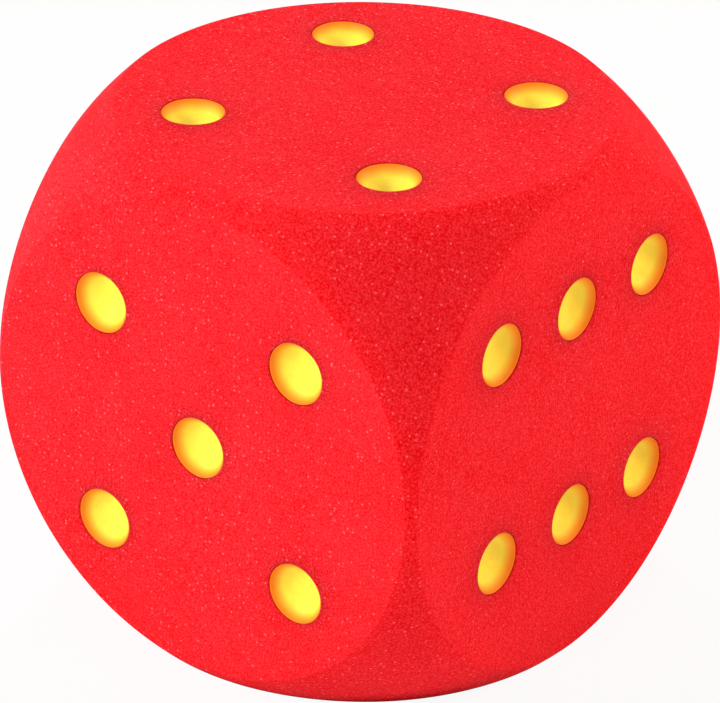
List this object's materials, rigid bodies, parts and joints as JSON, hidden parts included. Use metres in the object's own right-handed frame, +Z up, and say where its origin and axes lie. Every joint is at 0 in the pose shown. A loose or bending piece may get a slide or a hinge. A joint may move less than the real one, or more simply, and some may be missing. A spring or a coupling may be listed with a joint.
{
  "type": "giant foam die",
  "caption": "Oversized soft foam die for lawn games: a ball-like block with round flats and dished pips seated in them.",
  "frame": {"origin": "middle of the bottom flat, the one with three pips, on the surface that the die stands on", "axes": "+Z up, out of the flat with four pips; +X out of the flat with six; -Y out of the flat with five; -Z three, +Y two, -X one"},
  "size_m": [0.295, 0.3, 0.304],
  "materials": {
    "red_foam": "matt, finely grained flexible polyurethane foam, dyed through",
    "yellow_foam": "matt, smooth, fine-celled foam"
  },
  "bodies": {
    "root": {"foam_body": "red_foam", "pip_one": "yellow_foam", "pip_two_1": "yellow_foam", "pip_two_2": "yellow_foam", "pip_three_1": "yellow_foam", "pip_three_2": "yellow_foam", "pip_three_3": "yellow_foam", "pip_four_1": "yellow_foam", "pip_four_2": "yellow_foam", "pip_four_3": "yellow_foam", "pip_four_4": "yellow_foam", "pip_five_1": "yellow_foam", "pip_five_2": "yellow_foam", "pip_five_3": "yellow_foam", "pip_five_4": "yellow_foam", "pip_five_5": "yellow_foam", "pip_six_1": "yellow_foam", "pip_six_2": "yellow_foam", "pip_six_3": "yellow_foam", "pip_six_4": "yellow_foam", "pip_six_5": "yellow_foam", "pip_six_6": "yellow_foam"}
  },
  "joints": []
}
